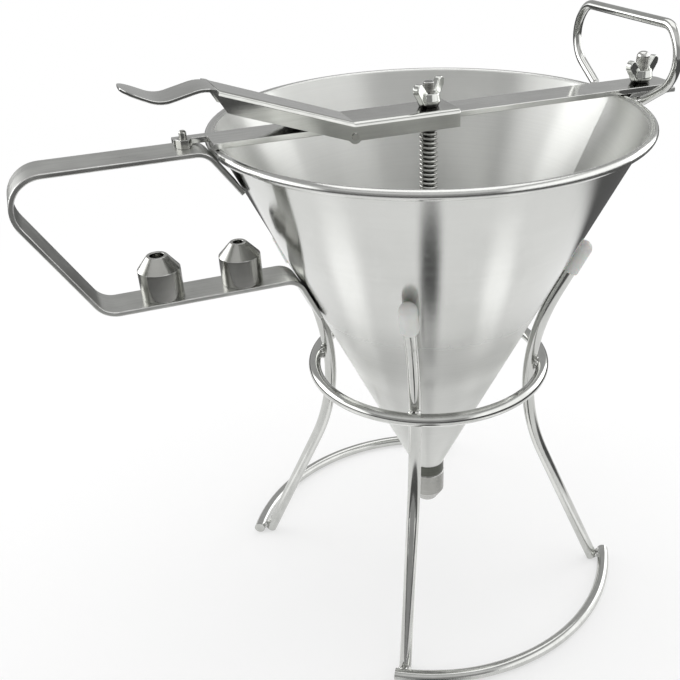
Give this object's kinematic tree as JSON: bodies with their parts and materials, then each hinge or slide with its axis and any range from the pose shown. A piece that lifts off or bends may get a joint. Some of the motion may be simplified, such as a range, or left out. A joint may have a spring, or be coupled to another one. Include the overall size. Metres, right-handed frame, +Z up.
{
  "type": "confectionery funnel",
  "caption": "Steel confectionery funnel on a wire stand: a thumb lever on the crossbar lifts a sprung valve rod, and spare nozzles sit on the strap handle.",
  "frame": {"origin": "on the funnel's axis at table level, under the outlet", "axes": "+Z up along the funnel's axis, +X along the crossbar to its clamped end, -X to the handle, +Y to the left of +X seen from above"},
  "size_m": [0.2943, 0.203, 0.2765],
  "materials": {
    "bowl_steel": "satin spun stainless sheet",
    "strap_steel": "polished stainless strip with brushed edges",
    "turned_steel": "turned stainless",
    "nut_plating": "bright cast wing nut",
    "spring_wire": "drawn spring wire",
    "bright_wire": "polished round wire",
    "cap_plastic": "milky soft plastic"
  },
  "bodies": {
    "stand": {"stand_ring": "bright_wire", "stand_leg_front": "bright_wire", "stand_leg_right": "bright_wire", "stand_leg_back": "bright_wire", "stand_leg_left": "bright_wire", "tip_cap_front": "cap_plastic", "tip_cap_right": "cap_plastic", "tip_cap_back": "cap_plastic", "tip_cap_left": "cap_plastic", "foot_arc_front": "bright_wire", "foot_arc_back": "bright_wire"},
    "funnel": {"funnel_bowl": "bowl_steel", "spout_collar": "turned_steel", "handle_strap": "strap_steel", "large_spare_stud": "turned_steel", "small_spare_stud": "turned_steel", "handle_peg": "turned_steel", "peg_nut": "turned_steel", "clamp_tab": "strap_steel", "clamp_stud": "turned_steel", "hanging_loop": "bright_wire"},
    "crossbar": {"crossbar": "strap_steel", "spring": "spring_wire"},
    "lever": {"lever": "strap_steel", "lever_pivot": "turned_steel"},
    "rod": {"valve_rod": "turned_steel", "valve_plug": "turned_steel", "spring_collar": "turned_steel"},
    "dose_nut": {"dose_wing_nut": "nut_plating"},
    "clamp_nut": {"clamp_wing_nut": "nut_plating"},
    "outlet_nozzle": {"outlet_nozzle": "turned_steel"},
    "large_spare_nozzle": {"large_spare_nozzle": "turned_steel"},
    "small_spare_nozzle": {"small_spare_nozzle": "turned_steel"}
  },
  "joints": [
    {"name": "funnel_lift", "type": "slide", "parent": "stand", "child": "funnel", "axis": [0, 0, 1], "range_m": [0, 0.17]},
    {"name": "crossbar_lift", "type": "slide", "parent": "funnel", "child": "crossbar", "axis": [0, 0, 1], "range_m": [0, 0.017]},
    {"name": "lever_tilt", "type": "hinge", "parent": "crossbar", "child": "lever", "pos_m": [-0.037, 0, 0.2402], "axis": [0, -1, 0], "range_deg": [0, 10], "stiffness_Nm_per_rad": 0.3, "springref_deg": -28.65},
    {"name": "rod_lift", "type": "slide", "parent": "crossbar", "child": "rod", "axis": [0, 0, 1], "range_m": [0, 0.0078], "deforming": ["spring"]},
    {"name": "dose_nut_turn", "type": "hinge", "parent": "rod", "child": "dose_nut", "pos_m": [0, 0, 0.2465], "axis": [0, 0, 1], "continuous": true},
    {"name": "clamp_nut_turn", "type": "hinge", "parent": "crossbar", "child": "clamp_nut", "pos_m": [0.1065, 0, 0.245], "axis": [0, 0, 1], "continuous": true},
    {"name": "outlet_nozzle_off", "type": "slide", "parent": "funnel", "child": "outlet_nozzle", "axis": [0, 0, -1], "range_m": [0, 0.012]},
    {"name": "large_spare_nozzle_off", "type": "slide", "parent": "funnel", "child": "large_spare_nozzle", "axis": [0, 0, 1], "range_m": [0, 0.012]},
    {"name": "small_spare_nozzle_off", "type": "slide", "parent": "funnel", "child": "small_spare_nozzle", "axis": [0, 0, 1], "range_m": [0, 0.012]}
  ],
  "couplings": [
    {"joint": "rod_lift", "follows": "lever_tilt", "m_per_rad": 0.0435}
  ]
}
